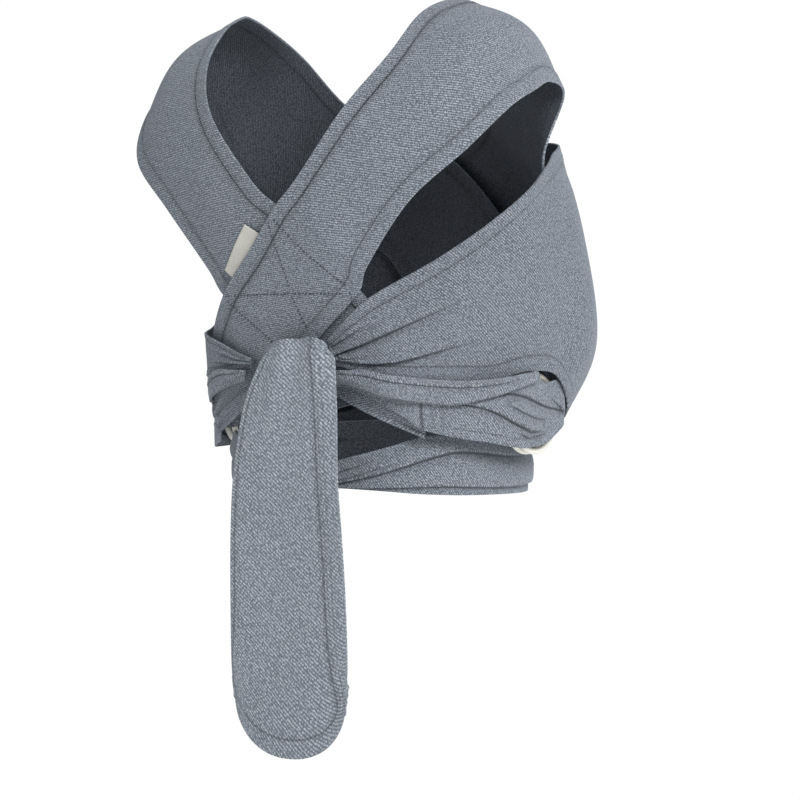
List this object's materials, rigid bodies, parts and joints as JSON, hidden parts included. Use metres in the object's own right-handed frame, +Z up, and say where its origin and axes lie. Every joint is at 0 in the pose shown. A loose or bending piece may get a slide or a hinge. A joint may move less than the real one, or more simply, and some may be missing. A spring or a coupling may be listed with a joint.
{
  "type": "baby_wrap_sling",
  "caption": "Baby wrap sling with crossed hemmed shoulder bands, sling rings at the hips, a wide front support panel and a sash knotted at the back with hanging tails.",
  "frame": {"origin": "centre of the wearer's waist, inside the lower turn of the sash", "axes": "+Z up, +Y the way the wearer faces, +X the wearer's right"},
  "size_m": [0.436, 0.3898, 0.692],
  "materials": {
    "sling_cloth": "matte",
    "thread": "matte",
    "ring_plastic": "satin",
    "label_cloth": "matte"
  },
  "bodies": {
    "harness": {"back_cross_stitching": "thread", "right_hip_strap": "sling_cloth", "left_hip_strap": "sling_cloth", "right_strap_seam": "thread", "left_strap_seam": "thread", "sash_upper_right": "sling_cloth", "sash_upper_left": "sling_cloth", "sash_lower_turn": "sling_cloth", "lower_turn_stitching": "thread", "knot": "sling_cloth"},
    "right_band": {"right_shoulder_band": "sling_cloth", "right_band_stitching": "thread"},
    "left_band": {"left_shoulder_band": "sling_cloth", "left_band_stitching": "thread"},
    "panel": {"support_panel": "sling_cloth", "panel_stitching": "thread"},
    "right_rings": {"right_ring_outer": "ring_plastic", "right_ring_inner": "ring_plastic", "right_front_loop": "sling_cloth", "right_ring_gather": "sling_cloth", "right_ring_sleeve": "sling_cloth", "right_ring_wrap": "sling_cloth"},
    "left_rings": {"left_ring_outer": "ring_plastic", "left_ring_inner": "ring_plastic", "left_front_loop": "sling_cloth", "left_ring_gather": "sling_cloth", "left_ring_sleeve": "sling_cloth", "left_ring_wrap": "sling_cloth"},
    "label": {"label_tag": "label_cloth"},
    "tail_back": {"tail_outer": "sling_cloth", "tail_outer_stitching": "thread"},
    "tail_front": {"tail_inner": "sling_cloth", "tail_inner_stitching": "thread"}
  },
  "joints": [
    {"name": "right_ring_pivot", "type": "hinge", "parent": "harness", "child": "right_rings", "pos_m": [0.164, -0.013, 0.049], "axis": [0, 0, 1], "range_deg": [-10, 6], "stiffness_Nm_per_rad": 0.02},
    {"name": "left_ring_pivot", "type": "hinge", "parent": "harness", "child": "left_rings", "pos_m": [-0.164, -0.013, 0.049], "axis": [0, 0, -1], "range_deg": [-10, 6], "stiffness_Nm_per_rad": 0.02},
    {"name": "label_flip", "type": "hinge", "parent": "harness", "child": "label", "pos_m": [-0.0361, -0.14506, 0.1921], "axis": [0.7296, -0.2746, 0.6263], "range_deg": [0, 70], "stiffness_Nm_per_rad": 0.002},
    {"name": "tail_outer_lift", "type": "hinge", "parent": "harness", "child": "tail_back", "pos_m": [0.02, -0.155, 0.117], "axis": [-1, 0, 0], "range_deg": [0, 60], "stiffness_Nm_per_rad": 0.05},
    {"name": "tail_inner_sway", "type": "hinge", "parent": "harness", "child": "tail_front", "pos_m": [0.004, -0.126, 0.06], "axis": [0, 1, 0], "range_deg": [-15, 15], "stiffness_Nm_per_rad": 0.05},
    {"name": "right_band_slip", "type": "hinge", "parent": "harness", "child": "right_band", "pos_m": [0.06, 0, 0.26], "axis": [0, 1, 0], "range_deg": [0, 10], "stiffness_Nm_per_rad": 8, "deforming": ["right_shoulder_band", "right_band_stitching"]},
    {"name": "left_band_slip", "type": "hinge", "parent": "harness", "child": "left_band", "pos_m": [-0.06, 0, 0.26], "axis": [0, -1, 0], "range_deg": [0, 10], "stiffness_Nm_per_rad": 8, "deforming": ["left_shoulder_band", "left_band_stitching"]},
    {"name": "panel_lower", "type": "hinge", "parent": "harness", "child": "panel", "pos_m": [0, -0.13, 0.1], "axis": [-1, 0, 0], "range_deg": [-3, 12], "stiffness_Nm_per_rad": 20, "deforming": ["support_panel", "panel_stitching"]}
  ]
}
